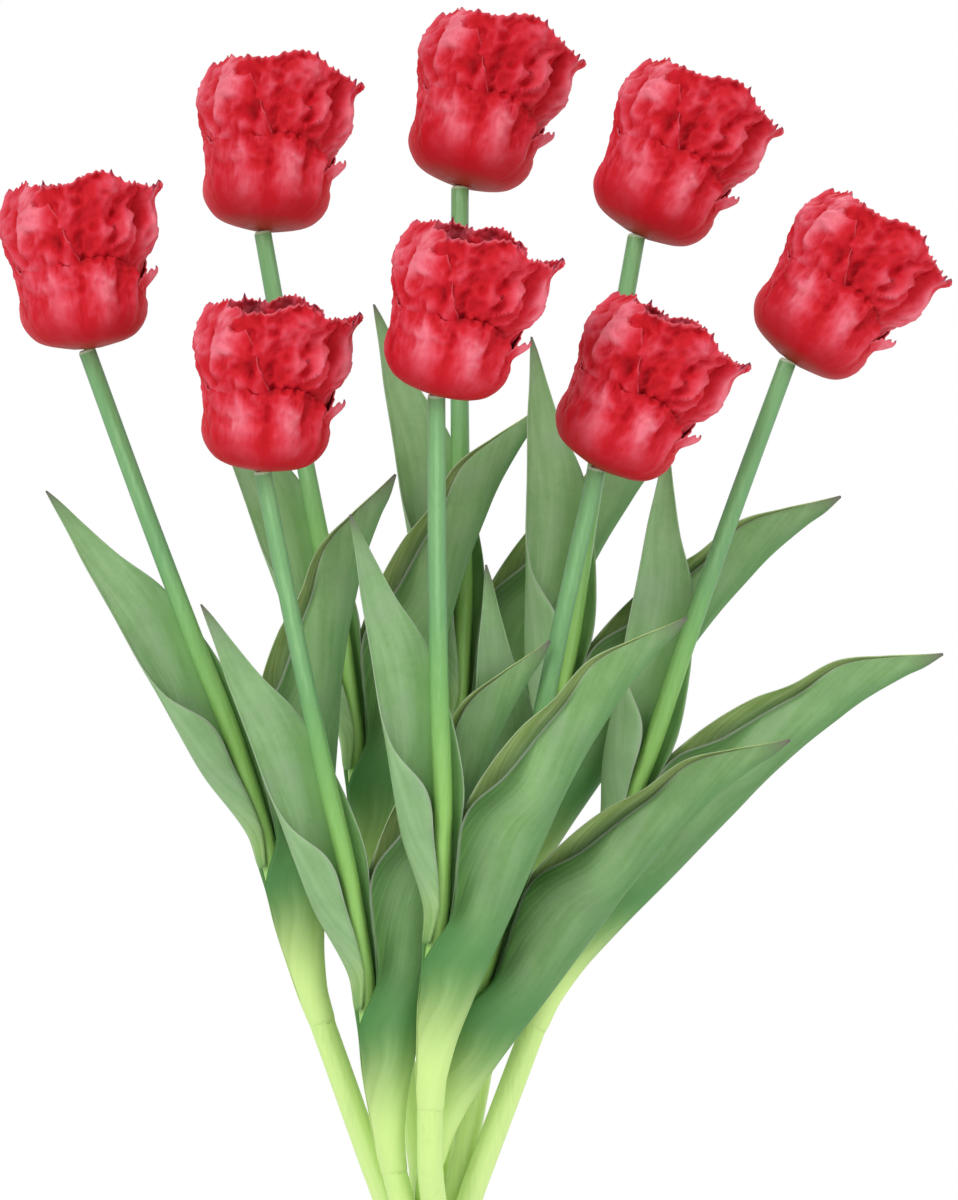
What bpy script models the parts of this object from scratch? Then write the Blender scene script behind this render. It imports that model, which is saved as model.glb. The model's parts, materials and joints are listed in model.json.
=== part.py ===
"""Bunch of eight artificial parrot tulips, held together by a strap below the leaves.

Each tulip has a moulded stem over a steel wire, a small and a large leaf whose bases
clasp the stem, a flower centre that plugs into the stem's bore, and two whorls of
petals threaded on that centre. All eight tulips are the same, turned to lean their
own way. Z is up, X is to the right and the front of the bunch faces -Y. The cut
ends of the stems lie at Z = 0. Sizes are in millimetres until they reach Blender.
"""

from math import cos, pi, radians, sin, sqrt

import bmesh
import bpy
from mathutils import Matrix, Vector

MM = 0.001
CLEARANCE = 0.3

# Stem and wire
STEM_TOP_RADIUS = 3.15
STEM_SHEATHED_RADIUS = 3.6
STEM_FOOT_RADIUS = 4.6
SHEATH_FOOT = 244.0
SWELL_START = SHEATH_FOOT + 2
SWELL_LENGTH = 6.0
STEM_WALL = 1.65
STEM_BORE_RADIUS = STEM_TOP_RADIUS - STEM_WALL
WIRE_RADIUS = STEM_BORE_RADIUS - CLEARANCE
PEG_LENGTH = 16.0
STEM_SHAPE = ((0, 0), (60, 0.2), (110, 1.1), (145, 2.2), (180, 1.2), (217, -1.8), (290, -2.5))
STEM_KNOTS = (60, 110, 145, 180, 217, SWELL_START, SWELL_START + SWELL_LENGTH)

# Bundle of stems in the strap
STEM_GAP = 0.6
STEM_PITCH = 2 * STEM_FOOT_RADIUS + STEM_GAP
ROW_PITCH = STEM_PITCH * sqrt(3) / 2
JOIN_HEIGHT = 88.0
BEND_STEPS = 4
STRAP_FOOT = 34.0
STRAP_WIDTH = 8.0
STRAP_THICKNESS = 1.2
STRAP_SIDES = 48
STRAP_MARGIN = 4.0
STRAIGHT_HEIGHT = STRAP_FOOT + STRAP_WIDTH + STRAP_MARGIN

# Leaves
LEAF_THICKNESS = 0.7
SMALL_LEAF_SEGMENTS = 6
LARGE_LEAF_SEGMENTS = 9
BOW_REACH = 60.0

# Flower head
HEAD_TILT = 15.0
PETAL_THICKNESS = 0.8
PETAL_SEGMENTS = 4
SPIGOT_CLEARANCE = 0.4
HOLE_RADIUS = WIRE_RADIUS + SPIGOT_CLEARANCE
OUTER_BASE_HEIGHT = STEM_TOP_RADIUS * sin(radians(HEAD_TILT)) + CLEARANCE + PETAL_THICKNESS / 2
INNER_BASE_HEIGHT = OUTER_BASE_HEIGHT + PETAL_THICKNESS + CLEARANCE
FLANGE_HEIGHT = INNER_BASE_HEIGHT + PETAL_THICKNESS / 2 + CLEARANCE
WHORL_SPACING = 2.4

# Each tulip: neck across and up, lean to the right in degrees, depth where the stem
# leaves the bundle and at the neck, the stem's place in the bundle as columns and rows
# from the front, and how far its large leaf bows back over the bow's reach
TULIPS = {
    "a": dict(neck=(-122.4, 377.3), lean=-19.8, depths=(-3, -18), place=(-1, 1), bow=0),
    "b": dict(neck=(-59.8, 420.5), lean=-10.1, depths=(12, 50), place=(-0.5, 2), bow=0),
    "c": dict(neck=(11.5, 437.0), lean=0.4, depths=(21, 72), place=(0, 3), bow=12),
    "d": dict(neck=(75.2, 419.0), lean=10.2, depths=(7, 30), place=(0.5, 2), bow=8),
    "e": dict(neck=(3.2, 360.7), lean=0.0, depths=(-25, -80), place=(0.5, 0), bow=-12),
    "f": dict(neck=(-59.0, 333.7), lean=-11.1, depths=(-15, -58), place=(-0.5, 0), bow=4),
    "g": dict(neck=(60.5, 334.8), lean=12.9, depths=(-9.5, -40), place=(0, 1), bow=-8),
    "h": dict(neck=(129.6, 373.7), lean=20.4, depths=(-1, 12), place=(1, 1), bow=6),
}

# Leaf sections from tip to base, in the plane of the tulip and measured from its neck:
# left edge (across, down), right edge (across, down), depth behind and before that line,
# and how far the left and the right side turn round from the back, in degrees
SMALL_LEAF = (
    ((-31.0, 42.1), (-30.0, 42.3), 0.5, 0.5, 60, 60),
    ((-28.8, 57.6), (-22.3, 57.6), 2.0, 2.0, 70, 60),
    ((-27.0, 72.0), (-14.4, 72.0), 3.6, 3.6, 75, 50),
    ((-24.1, 88.9), (-3.2, 88.9), 5.4, 5.4, 80, 35),
    ((-21.0, 108.0), (3.6, 108.0), 6.0, 6.0, 90, 40),
    ((-18.0, 124.2), (7.6, 124.2), 6.0, 6.0, 120, 70),
    ((-15.5, 140.0), (9.8, 140.0), 6.0, 6.0, 175, 92),
    ((-12.2, 158.0), (8.6, 158.0), 5.8, 5.8, 185, 105),
    ((-4.8, 182.0), (6.6, 182.0), 5.5, 5.5, 180, 125),
    ((-5.0, 196.0), (5.0, 196.0), 5.0, 5.0, 155, 150),
)
LARGE_LEAF = (
    ((88.6, 78.9), (89.4, 79.8), 0.4, 0.4, 85, 240),
    ((70.2, 86.8), (79.2, 91.0), 1.8, 1.0, 85, 235),
    ((54.0, 94.7), (68.4, 104.0), 3.4, 1.6, 88, 228),
    ((41.8, 108.5), (61.2, 115.0), 4.4, 2.6, 90, 215),
    ((30.6, 118.0), (53.3, 128.0), 5.2, 3.6, 90, 208),
    ((19.1, 132.0), (45.0, 144.0), 6.4, 4.6, 90, 212),
    ((10.4, 146.0), (38.9, 158.0), 7.8, 5.6, 60, 229),
    ((1.8, 164.0), (33.1, 171.0), 8.0, 6.6, 34, 197),
    ((-4.3, 187.0), (25.2, 189.0), 8.0, 7.2, 32, 184),
    ((-5.6, 205.0), (17.4, 206.0), 7.4, 7.4, 42, 221),
    ((-6.7, 217.0), (12.6, 217.0), 6.6, 6.8, 92, 258),
    ((-7.1, 230.0), (7.4, 230.0), 6.1, 5.8, 92, 255),
    ((-7.3, SHEATH_FOOT), (3.5, SHEATH_FOOT), 5.8, 5.4, 92, 252),
)

# Cup of the flower: height up the head and radius of the inner whorl, as far as the
# petals share it, and how far up the tips lean out of the cup
CUP_PROFILE = ((0, 5), (3, 11.5), (8, 16.5), (16, 19.4), (26, 20.6))
LEAN_PROFILE = ((0, 0), (26, 0), (45, 0.5), (64, 1))
FLOOR_RADIUS = 5.0
FLOOR_RISE = 0.3

# Petal whorls. Each petal has the direction of its middle and half its spread in degrees,
# its height, the height of its rim points as shares of that, how far its tip leans across
# and back, how far its rim flares, and its own cup above the shared part
OUTER_CUP = ((34, 22.6), (42, 24.8), (50, 25.2))
OUTER_RIM = (0.76, 1.0, 0.87, 0.86, 0.66)
OUTER_PETALS = dict(
    base=OUTER_BASE_HEIGHT,
    offset=WHORL_SPACING,
    petals=(
        dict(middle=-90, spread=54, height=43.0, rim=OUTER_RIM, lean=(0, 0), flare=1.2, cup=OUTER_CUP),
        dict(middle=30, spread=54, height=32.0, rim=OUTER_RIM, lean=(0, 0), flare=2.6, cup=OUTER_CUP),
        dict(middle=150, spread=54, height=33.0, rim=OUTER_RIM, lean=(0, 0), flare=2.6, cup=OUTER_CUP),
    ),
)
INNER_PETALS = dict(
    base=INNER_BASE_HEIGHT,
    offset=0.0,
    petals=(
        dict(
            middle=-46,
            spread=64,
            height=66.0,
            rim=(0.87, 1.0, 0.9, 0.86, 0.84),
            lean=(1.5, 9.0),
            flare=0.0,
            cup=((34, 23.8), (42, 26.2), (50, 27.4), (62, 31.0)),
        ),
        dict(
            middle=82,
            spread=50,
            height=62.0,
            rim=(0.87, 0.98, 1.0, 0.96, 0.95),
            lean=(0, -4.0),
            flare=0.0,
            cup=((34, 23.2), (43, 24.4), (50, 24.0), (61, 21.5)),
        ),
        dict(
            middle=195,
            spread=48,
            height=62.5,
            rim=(0.79, 0.92, 0.96, 0.99, 0.93),
            lean=(1.0, 2.0),
            flare=0.0,
            cup=((34, 24.0), (43, 26.0), (50, 25.0), (60, 20.0)),
        ),
    ),
)
PETAL_ROWS = (0.25, 0.5, 0.78, 1.0)
TIP_NARROWING = 0.06
RIPPLE = 0.7

# Receptacle and pistil above the petals' floors: height above the flange and radius
PISTIL_PROFILE = (
    (0, WIRE_RADIUS),
    (0.5, 3.8),
    (3, 4.1),
    (5.5, 2.4),
    (19, 2.0),
    (21.5, 3.9),
    (23.5, 3.6),
    (24.3, 1.0),
)


def blend(start, leaving, end, arriving, share):
    """A place part of the way along a cubic from start to end, with the given end slopes."""
    return (
        start * (2 * share**3 - 3 * share**2 + 1)
        + leaving * (share**3 - 2 * share**2 + share)
        + end * (3 * share**2 - 2 * share**3)
        + arriving * (share**3 - share**2)
    )


def smooth_value(points, at):
    """Read a smooth curve through (position, value) points at one position."""
    at = min(max(at, points[0][0]), points[-1][0])
    index = 0
    while index < len(points) - 2 and at > points[index + 1][0]:
        index += 1
    slopes = []
    for knot in (index, index + 1):
        before = points[max(knot - 1, 0)]
        after = points[min(knot + 1, len(points) - 1)]
        slopes.append((after[1] - before[1]) / (after[0] - before[0]))
    (start, first), (end, last) = points[index], points[index + 1]
    span = end - start
    return blend(first, slopes[0] * span, last, slopes[1] * span, (at - start) / span)


def make_material(name, colour, roughness, metallic=0.0):
    material = bpy.data.materials.new(name)
    material.use_nodes = True
    shader = material.node_tree.nodes["Principled BSDF"]
    shader.inputs["Base Color"].default_value = (*colour, 1)
    shader.inputs["Roughness"].default_value = roughness
    shader.inputs["Metallic"].default_value = metallic
    return material


def add_object(collection, name, data, material):
    item = bpy.data.objects.new(name, data)
    collection.objects.link(item)
    if not data.materials:
        data.materials.append(material)
    return item


def add_solidify(item, thickness, offset):
    shell = item.modifiers.new("wall", "SOLIDIFY")
    shell.thickness = thickness * MM
    shell.offset = offset
    return shell


def plane_slope(tulip):
    """Depth gained for each millimetre of height, from the bundle to the neck."""
    near, far = tulip["depths"]
    return (far - near) / (tulip["neck"][1] - JOIN_HEIGHT)


def tulip_point(tulip, across, down, depth=0.0):
    """Turn a place in the tulip's own plane, measured from its neck, into world millimetres."""
    lean = radians(tulip["lean"])
    x = tulip["neck"][0] + across * cos(lean) - down * sin(lean)
    z = tulip["neck"][1] - across * sin(lean) - down * cos(lean)
    y = tulip["depths"][0] + plane_slope(tulip) * (z - JOIN_HEIGHT) + depth
    return Vector((x, y, z))


def head_direction(tulip, tilt):
    """Direction up the tulip at its neck, tilted to the right by some degrees."""
    angle = radians(tulip["lean"] + tilt)
    return Vector((sin(angle), plane_slope(tulip) * cos(angle), cos(angle))).normalized()


def bundle_place(tulip):
    """Where the tulip's stem stands in the strap, with the middle stem at X = Y = 0."""
    column, row = tulip["place"]
    return Vector((column * STEM_PITCH, (row - 1) * ROW_PITCH, 0))


def stem_radius(travelled):
    """Radius of a stem: a slow taper down to the sheath's foot, then the thicker foot."""
    taper = min(travelled / SWELL_START, 1)
    swell = min(max((travelled - SWELL_START) / SWELL_LENGTH, 0), 1)
    sheathed = STEM_TOP_RADIUS + (STEM_SHEATHED_RADIUS - STEM_TOP_RADIUS) * taper
    return sheathed + (STEM_FOOT_RADIUS - STEM_SHEATHED_RADIUS) * swell


def stem_points(tulip):
    """Centre line of a stem from its neck down to its cut end, with radii."""
    points = [tulip_point(tulip, 0, 0), tulip_point(tulip, 0, PEG_LENGTH + CLEARANCE)]
    length = (tulip["neck"][1] - JOIN_HEIGHT) / cos(radians(tulip["lean"]))
    for down in STEM_KNOTS:
        if down < length:
            points.append(tulip_point(tulip, smooth_value(STEM_SHAPE, down), down))
    points.append(tulip_point(tulip, smooth_value(STEM_SHAPE, length), length))
    start = points[-1]
    end = bundle_place(tulip) + Vector((0, 0, STRAIGHT_HEIGHT))
    span = start.z - end.z
    leaving = (start - points[-2]).normalized() * span
    arriving = Vector((0, 0, -span))
    for step in range(1, BEND_STEPS + 1):
        points.append(blend(start, leaving, end, arriving, step / BEND_STEPS))
    points.append(bundle_place(tulip))
    travelled = 0.0
    radii = [stem_radius(travelled)]
    for above, below in zip(points, points[1:]):
        travelled += (below - above).length
        radii.append(stem_radius(travelled))
    return points, radii


def make_tube(collection, name, points, radii, capped, sides_level, material):
    """Make a tube along points with its own radius at each of them."""
    curve = bpy.data.curves.new(name, "CURVE")
    curve.dimensions = "3D"
    curve.bevel_depth = MM
    curve.bevel_resolution = sides_level
    curve.use_fill_caps = capped
    spline = curve.splines.new("POLY")
    spline.points.add(len(points) - 1)
    for knot, point, radius in zip(spline.points, points, radii):
        knot.co = (*(point * MM), 1)
        knot.radius = radius
    return add_object(collection, name, curve, material)


def make_stem(collection, key, tulip, material):
    points, radii = stem_points(tulip)
    stem = make_tube(collection, f"stem_{key}", points, radii, False, 2, material)
    add_solidify(stem, STEM_WALL, -1)


def make_wire(collection, key, tulip, material):
    """Steel core of the stem, from under the peg down to the cut end."""
    points, _ = stem_points(tulip)
    points = points[1:]
    make_tube(collection, f"stem_wire_{key}", points, [WIRE_RADIUS] * len(points), True, 1, material)


def make_flower_centre(collection, key, tulip, material):
    """Peg in the stem's bore, then the tilted spigot, receptacle and pistil."""
    neck = tulip_point(tulip, 0, 0)
    up_stem = head_direction(tulip, 0)
    up_head = head_direction(tulip, HEAD_TILT)
    points = [neck - up_stem * PEG_LENGTH, neck]
    radii = [WIRE_RADIUS, WIRE_RADIUS]
    for height, radius in PISTIL_PROFILE:
        points.append(neck + up_head * (FLANGE_HEIGHT + height))
        radii.append(radius)
    make_tube(collection, f"flower_centre_{key}", points, radii, True, 2, material)


def leaf_section(section, segments):
    """Points across one leaf section: part of an oval that starts behind and turns to the front."""
    (left_x, left_down), (right_x, right_down), behind, before, left_turn, right_turn = section
    left_reach = sin(radians(min(left_turn, 90)))
    right_reach = sin(radians(min(right_turn, 90)))
    middle = left_reach / (left_reach + right_reach)
    half_width = 1 / (left_reach + right_reach)
    points = []
    for step in range(segments + 1):
        turn = radians(-left_turn + (left_turn + right_turn) * step / segments)
        share = middle + half_width * sin(turn)
        across = left_x + (right_x - left_x) * share
        down = left_down + (right_down - left_down) * share
        points.append((across, down, (behind if cos(turn) > 0 else before) * cos(turn)))
    return points


def make_leaf(collection, name, tulip, sections, segments, bow, material):
    """Loft the leaf through its sections, bow it out of the tulip's plane and give it a wall."""
    mesh = bmesh.new()
    rows = []
    for section in sections:
        row = []
        for across, down, depth in leaf_section(section, segments):
            bowed = depth + bow * (across / BOW_REACH) ** 2
            row.append(mesh.verts.new(tulip_point(tulip, across, down, bowed) * MM))
        rows.append(row)
    for upper, lower in zip(rows, rows[1:]):
        for index in range(segments):
            mesh.faces.new((upper[index], lower[index], lower[index + 1], upper[index + 1]))
    data = bpy.data.meshes.new(name)
    mesh.to_mesh(data)
    mesh.free()
    data.shade_smooth()
    leaf = add_object(collection, name, data, material)
    add_solidify(leaf, LEAF_THICKNESS, 0)


def whorl_point(petal, step, narrowing, radius, height):
    """A point of a whorl at one of the steps across a petal."""
    across = (2 * step / PETAL_SEGMENTS - 1) * petal["spread"] * (1 - narrowing)
    turn = radians(petal["middle"] + across)
    return Vector((radius * cos(turn), radius * sin(turn), height))


def petal_point(whorl, petal, step, share):
    """A point of a petal at a share of its height, with its rim rippled, flared and leaning."""
    rise = share * share
    rim = 1 - (1 - petal["rim"][step]) * rise
    lift = (petal["height"] - whorl["base"]) * share * rim
    radius = smooth_value(CUP_PROFILE + petal["cup"], lift) + whorl["offset"] + petal["flare"] * rise * rise
    radius += RIPPLE * rise * (1 if step % 2 else -1)
    inward = 1 - (2 * step / PETAL_SEGMENTS - 1) ** 2
    lean = Vector((*petal["lean"], 0)) * smooth_value(LEAN_PROFILE, lift) * inward
    return whorl_point(petal, step, TIP_NARROWING * rise, radius, whorl["base"] + lift) + lean


def make_whorl_mesh(name, whorl):
    """Petals that rise from one floor with a hole for the spigot."""
    mesh = bmesh.new()
    columns = [(petal, step) for petal in whorl["petals"] for step in range(PETAL_SEGMENTS + 1)]
    rows = []
    for radius, height in ((HOLE_RADIUS, whorl["base"]), (FLOOR_RADIUS, whorl["base"] + FLOOR_RISE)):
        rows.append([whorl_point(petal, step, 0, radius, height) for petal, step in columns])
    floor_rows = len(rows)
    for share in PETAL_ROWS:
        rows.append([petal_point(whorl, petal, step, share) for petal, step in columns])
    verts = [[mesh.verts.new(point * MM) for point in row] for row in rows]
    for level, (lower, upper) in enumerate(zip(verts, verts[1:]), 1):
        for index, (petal, step) in enumerate(columns):
            if step == PETAL_SEGMENTS and level >= floor_rows:
                continue
            after = (index + 1) % len(columns)
            mesh.faces.new((lower[index], lower[after], upper[after], upper[index]))
    data = bpy.data.meshes.new(name)
    mesh.to_mesh(data)
    mesh.free()
    data.shade_smooth()
    return data


def make_whorl(collection, name, tulip, data, material):
    """Place a whorl with its origin at the neck and its axis up the head."""
    up = head_direction(tulip, HEAD_TILT)
    back = (Vector((0, 1, 0)) - up * up.y).normalized()
    across = back.cross(up)
    turn = Matrix((across, back, up)).transposed().to_4x4()
    item = add_object(collection, name, data, material)
    item.matrix_world = Matrix.Translation(tulip_point(tulip, 0, 0) * MM) @ turn
    add_solidify(item, PETAL_THICKNESS, 0)


def make_strap(collection, material):
    """Flat strap pulled round the outside of the eight stems."""
    centres = [bundle_place(tulip) for tulip in TULIPS.values()]
    reach = STEM_FOOT_RADIUS + CLEARANCE
    mesh = bmesh.new()
    rings = []
    for height in (STRAP_FOOT, STRAP_FOOT + STRAP_WIDTH):
        ring = []
        for side in range(STRAP_SIDES):
            angle = 2 * pi * (side + 0.5) / STRAP_SIDES
            facing = Vector((cos(angle), sin(angle), 0))
            outermost = max(centres, key=facing.dot)
            corner = outermost + facing * reach / cos(pi / STRAP_SIDES)
            ring.append(mesh.verts.new((corner + Vector((0, 0, height))) * MM))
        rings.append(ring)
    for side in range(STRAP_SIDES):
        after = (side + 1) % STRAP_SIDES
        mesh.faces.new((rings[0][side], rings[0][after], rings[1][after], rings[1][side]))
    data = bpy.data.meshes.new("strap")
    mesh.to_mesh(data)
    mesh.free()
    strap = add_object(collection, "stem_strap", data, material)
    add_solidify(strap, STRAP_THICKNESS, 1)


def main():
    for item in list(bpy.data.objects):
        bpy.data.objects.remove(item)
    collection = bpy.data.collections.new("artificial_tulip_bunch")
    bpy.context.scene.collection.children.link(collection)
    stem_green = make_material("stem_green", (0.25, 0.5, 0.2), 0.5)
    leaf_green = make_material("leaf_green", (0.2, 0.42, 0.15), 0.55)
    petal_red = make_material("petal_red", (0.62, 0.02, 0.03), 0.5)
    centre_yellow = make_material("centre_yellow", (0.6, 0.6, 0.2), 0.6)
    wire_steel = make_material("wire_steel", (0.45, 0.45, 0.45), 0.4, 1.0)
    strap_green = make_material("strap_green", (0.3, 0.5, 0.25), 0.5)
    outer = make_whorl_mesh("outer_petals", OUTER_PETALS)
    inner = make_whorl_mesh("inner_petals", INNER_PETALS)
    for key, tulip in TULIPS.items():
        make_stem(collection, key, tulip, stem_green)
        make_wire(collection, key, tulip, wire_steel)
        make_leaf(collection, f"small_leaf_{key}", tulip, SMALL_LEAF, SMALL_LEAF_SEGMENTS, 0, leaf_green)
        bow = tulip["bow"]
        make_leaf(collection, f"large_leaf_{key}", tulip, LARGE_LEAF, LARGE_LEAF_SEGMENTS, bow, leaf_green)
        make_flower_centre(collection, key, tulip, centre_yellow)
        make_whorl(collection, f"outer_petals_{key}", tulip, outer, petal_red)
        make_whorl(collection, f"inner_petals_{key}", tulip, inner, petal_red)
    make_strap(collection, strap_green)


main()
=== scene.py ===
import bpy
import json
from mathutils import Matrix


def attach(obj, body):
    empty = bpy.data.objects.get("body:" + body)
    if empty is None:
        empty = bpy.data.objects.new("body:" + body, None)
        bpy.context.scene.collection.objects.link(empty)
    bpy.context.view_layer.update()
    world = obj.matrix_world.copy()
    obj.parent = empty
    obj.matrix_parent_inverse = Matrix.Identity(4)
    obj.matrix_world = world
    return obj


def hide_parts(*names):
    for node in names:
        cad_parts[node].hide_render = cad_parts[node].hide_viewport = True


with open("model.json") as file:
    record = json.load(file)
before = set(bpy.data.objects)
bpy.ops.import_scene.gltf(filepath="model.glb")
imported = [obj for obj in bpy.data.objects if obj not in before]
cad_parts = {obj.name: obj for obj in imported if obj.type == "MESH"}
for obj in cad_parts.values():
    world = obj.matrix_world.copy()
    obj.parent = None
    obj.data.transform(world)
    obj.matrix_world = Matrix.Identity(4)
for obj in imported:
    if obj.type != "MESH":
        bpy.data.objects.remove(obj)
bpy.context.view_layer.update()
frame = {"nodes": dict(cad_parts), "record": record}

import json
from math import atan2, cos, exp, pi, radians, sin, sqrt

import bpy
from mathutils import Matrix, Vector, noise

mm = 0.001  # every length below is in millimetres until it reaches a mesh

# how the eight tulips stand together; places are columns and rows of the bundle
bunch = dict(
    names="abcdefgh",
    joinHeight=88.0,
    straightHeight=46.0,
    stemPitch=9.8,
    places=dict(a=(-1, 1), b=(-0.5, 2), c=(0, 3), d=(0.5, 2), e=(0.5, 0), f=(-0.5, 0), g=(0, 1), h=(1, 1)),
    bows=dict(a=0, b=0, c=12, d=8, e=-12, f=4, g=-8, h=6),
)


def smoothValue(points, at):
    # a smooth curve through (position, value) points, read at one position
    at = min(max(at, points[0][0]), points[-1][0])
    index = 0
    while index < len(points) - 2 and at > points[index + 1][0]:
        index += 1
    slopes = []
    for knot in (index, index + 1):
        before = points[max(knot - 1, 0)]
        after = points[min(knot + 1, len(points) - 1)]
        slopes.append((after[1] - before[1]) / (after[0] - before[0]))
    (start, first), (end, last) = points[index], points[index + 1]
    span = end - start
    return blend(first, slopes[0] * span, last, slopes[1] * span, (at - start) / span)


def blend(start, leaving, end, arriving, share):
    # cubic between two values or points, with given slopes at its ends
    return (
        start * (2 * share**3 - 3 * share**2 + 1)
        + leaving * (share**3 - 2 * share**2 + share)
        + end * (3 * share**2 - 2 * share**3)
        + arriving * (share**3 - share**2)
    )


def step(low, high, value):
    # 0 below low, 1 above high, smooth between
    share = min(max((value - low) / (high - low), 0), 1)
    return share * share * (3 - 2 * share)


def colour(red, green, blue):
    # sRGB values of 0 to 255 as the linear colour that a shader wants
    parts = []
    for part in (red / 255, green / 255, blue / 255):
        parts.append(part / 12.92 if part <= 0.04045 else ((part + 0.055) / 1.055) ** 2.4)
    return (*parts, 1)


class Link:
    # an output that can be added, multiplied and so on; each sum adds its Math node
    def __init__(self, nodes, socket):
        self.nodes, self.socket = nodes, socket

    def math(self, operation, *values, clamp=False):
        return self.nodes.add("ShaderNodeMath", dict(enumerate(values)), operation=operation, use_clamp=clamp)

    def __add__(self, other):
        return self.math("ADD", self, other)

    __radd__ = __add__

    def __sub__(self, other):
        return self.math("SUBTRACT", self, other)

    def __rsub__(self, other):
        return self.math("SUBTRACT", other, self)

    def __mul__(self, other):
        return self.math("MULTIPLY", self, other)

    __rmul__ = __mul__

    def __truediv__(self, other):
        return self.math("DIVIDE", self, other)

    def clamped(self):
        return self.math("ADD", self, 0, clamp=True)


class Nodes:
    def __init__(self, tree):
        self.tree = tree

    def add(self, kind, inputs=None, output=0, **settings):
        node = self.tree.nodes.new(kind)
        for name, value in settings.items():
            if name == "stops":
                ramp = node.color_ramp
                while len(ramp.elements) < len(value):
                    ramp.elements.new(1)
                for element, (position, *parts) in zip(ramp.elements, value):
                    element.position, element.color = position, colour(*parts)
            else:
                setattr(node, name, value)
        for key, value in (inputs or {}).items():
            socket = self.find(node.inputs, key)
            for item in value if isinstance(value, list) else [value]:
                if isinstance(item, Link):
                    self.tree.links.new(item.socket, socket)
                else:
                    socket.default_value = item
        return Link(self, self.find(node.outputs, output))

    def find(self, sockets, key):
        if isinstance(key, int):
            return sockets[key]
        live = (socket for socket in sockets if socket.enabled)
        return next(socket for socket in live if key in (socket.identifier, socket.name))


class Paint(Nodes):
    # the nodes of a material, or of the world
    def __init__(self, owner):
        owner.use_nodes = True
        super().__init__(owner.node_tree)
        self.tree.nodes.clear()
        self.owner = owner

    def attribute(self, name):
        return self.add("ShaderNodeAttribute", {}, "Fac", attribute_name=name)

    def noise(self, scale, detail, roughness, distortion=0.0, stretch=(1, 1, 1), source="Object"):
        # on the coordinates of the piece or on its UV map
        start = self.add("ShaderNodeTexCoord", {}, source)
        place = self.add("ShaderNodeMapping", {"Vector": start, "Scale": stretch})
        inputs = dict(Vector=place, Scale=scale, Detail=detail, Roughness=roughness, Distortion=distortion)
        return self.add("ShaderNodeTexNoise", inputs, "Fac")

    def strands(self, stretch, *settings):
        # noise drawn out along the piece on its UV map
        return self.noise(*settings, stretch=stretch, source="UV")

    def range(self, value, low, high):
        inputs = {"Value": value, "From Min": low, "From Max": high}
        return self.add("ShaderNodeMapRange", inputs, interpolation_type="SMOOTHSTEP")

    def ramp(self, value, *stops):
        # each stop is a position and a colour
        return self.add("ShaderNodeValToRGB", {0: value}, stops=stops)

    def mix(self, factor, first, second, blendType="MIX"):
        first, second = (part if isinstance(part, Link) else colour(*part) for part in (first, second))
        inputs = {"Factor_Float": factor, "A_Color": first, "B_Color": second}
        return self.add("ShaderNodeMix", inputs, "Result_Color", data_type="RGBA", blend_type=blendType)

    def cover(self, base, *layers):
        # each layer is a mask and a colour over what lies below
        for mask, top in layers:
            base = self.mix(mask, base, top)
        return base

    def bump(self, height, strength, distance, under=None):
        inputs = {"Height": height, "Strength": strength, "Distance": distance}
        if under:
            inputs["Normal"] = under
        return self.add("ShaderNodeBump", inputs)

    def end(self, shader, kind):
        output = self.tree.nodes.new(kind)
        self.tree.links.new(shader.socket, output.inputs["Surface"])
        return self.owner

    def finish(self, **inputs):
        named = {key.replace("_", " "): value for key, value in inputs.items()}
        return self.end(self.add("ShaderNodeBsdfPrincipled", named), "ShaderNodeOutputMaterial")


def newPaint(name):
    return Paint(bpy.data.materials.new(name))


# where the colours change, in millimetres below or above the neck of the tulip
tones = dict(
    leafDarkens=(178, 200),
    leafDarkEnds=(204, 234),
    leafPales=(200, 244),
    stemLength=420,
    stemUpper=(70, 120),
    stemCut=(0.5, 1.5),
    centreHeight=28,
)

# numbers that the meshes carry for their paint
petalMarks = ("bulge", "rim", "tooth", "shade", "rise")
leafMarks = ("down", "side", "tip", "keel", "inner", "strip", "shade", "fold", "opened", "folded")


def petalPaint():
    paint = newPaint("petalRed")
    bulge, rim, tooth, shade, rise = (paint.attribute(name) for name in petalMarks)
    streaks = paint.strands((1.7, 0.42, 1), 1.5, 3, 0.55, 1.1)
    veins = paint.strands((7, 0.8, 1), 1.6, 3, 0.5, 0.4)
    mottle = paint.noise(190, 3, 0.6)
    broad = paint.noise(75, 2, 0.5, 0.5)
    # the swell of the surface paints highlights on the petals' bulges and shade in their hollows
    tone = 0.44 + bulge * 0.58 + (streaks - 0.5) * 0.34 + (mottle - 0.5) * 0.28 + (broad - 0.5) * 0.65
    # the shade mark takes tone away as painted shade, and adds it as painted light where it is negative
    tone = tone + (veins - 0.5) * 0.14 * paint.range(rise, 0.05, 0.3) - shade * 0.1
    red = paint.ramp(
        tone.clamped(),
        (0.0, 152, 10, 22), (0.28, 184, 20, 32), (0.48, 195, 30, 43), (0.66, 206, 57, 72),
        (0.84, 214, 84, 99), (1.0, 224, 110, 124),
    )
    # darker towards the base: the petals' own deeper red, strengthened as painted shade under the cup
    low = 1 - paint.range(rise, 0.03, 0.33)
    red = paint.cover(
        red,
        (low * 0.75, (166, 12, 22)),
        ((1 - paint.range(rise, 0.0, 0.1)) * 0.75, (126, 46, 18)),
        (paint.range(rim + (mottle - 0.5) * 0.5, 0.35, 0.9) * 0.55, (226, 104, 118)),
        (paint.range(tooth, 0.25, 0.8) * 0.85, (104, 34, 60)),
    )
    fine = paint.bump((veins + streaks * 0.6) * paint.range(rise, 0.04, 0.3), 0.4, 0.0005)
    return paint.finish(
        Base_Color=red,
        Roughness=0.52 - bulge * 0.06 + (mottle - 0.5) * 0.2,
        Normal=paint.bump(mottle, 0.4, 0.0007, fine),
        Specular_IOR_Level=0.08,
    )


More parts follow.
